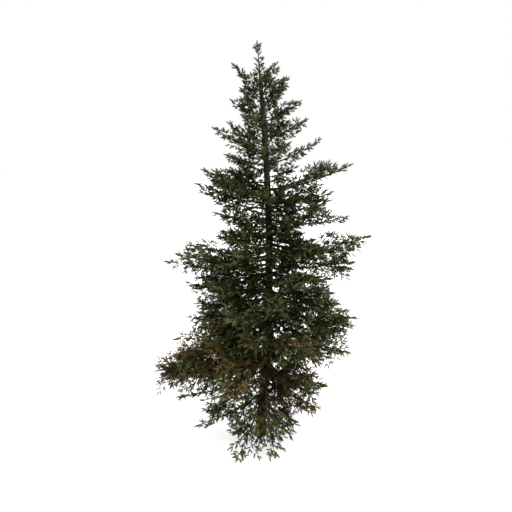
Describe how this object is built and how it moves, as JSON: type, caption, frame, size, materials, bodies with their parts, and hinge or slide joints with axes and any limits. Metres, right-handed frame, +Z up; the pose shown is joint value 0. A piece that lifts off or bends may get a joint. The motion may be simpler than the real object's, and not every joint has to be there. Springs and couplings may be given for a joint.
{
  "type": "spruce tree",
  "caption": "Young spruce growing in open ground: one slightly bowed tapering trunk, whorled boughs and layered sprays of needles, green above and fading to olive brown in the low crown.",
  "frame": {"origin": "centre of the flat cut under the trunk, at ground level", "axes": "+Z up the tree; +X to the right and -Y to the front as the tree is usually seen"},
  "size_m": [4.548, 3.2855, 7.9992],
  "materials": {
    "bark": "rough grey-brown bark in small scales",
    "limb_bark": "smoother brown bark",
    "needles_green": "matte dark green needles",
    "needles_faded": "matte needles, green fading to olive brown"
  },
  "bodies": {
    "root": {"limb_02a": "limb_bark", "limb_03a": "limb_bark", "limb_04a": "limb_bark", "limb_04c": "limb_bark", "limb_05c": "limb_bark", "limb_06a": "limb_bark", "limb_07a": "limb_bark", "limb_08a": "limb_bark", "mass_01a": "needles_faded", "mass_01b": "needles_faded", "mass_01c": "needles_faded", "mass_01d": "needles_faded", "mass_01e": "needles_faded", "mass_02a": "needles_faded", "mass_02b": "needles_faded", "mass_02c": "needles_faded", "mass_02d": "needles_faded", "mass_03a": "needles_green", "mass_03b": "needles_green", "mass_03c": "needles_green", "mass_03d": "needles_green", "mass_04a": "needles_green", "mass_04b": "needles_green", "mass_04c": "needles_green", "mass_04d": "needles_green", "mass_05a": "needles_green", "mass_05b": "needles_green", "mass_05c": "needles_green", "mass_05d": "needles_green", "mass_06a": "needles_green", "mass_06b": "needles_green", "mass_06c": "needles_green", "mass_07a": "needles_green", "mass_07b": "needles_green", "mass_07c": "needles_green", "mass_08a": "needles_green", "mass_08b": "needles_green", "mass_08c": "needles_green", "mass_09a": "needles_green", "mass_09b": "needles_green", "mass_09c": "needles_green", "mass_10a": "needles_green", "mass_10b": "needles_green", "mass_11a": "needles_green", "mass_11b": "needles_green", "mass_11c": "needles_green", "mass_12a": "needles_green", "mass_12b": "needles_green", "mass_13a": "needles_green", "mass_13b": "needles_green", "mass_14a": "needles_green", "mass_14b": "needles_green", "mass_14c": "needles_green", "mass_15a": "needles_green", "mass_15b": "needles_green", "mass_15c": "needles_green", "mass_leader": "needles_green", "trunk": "bark"}
  },
  "joints": []
}
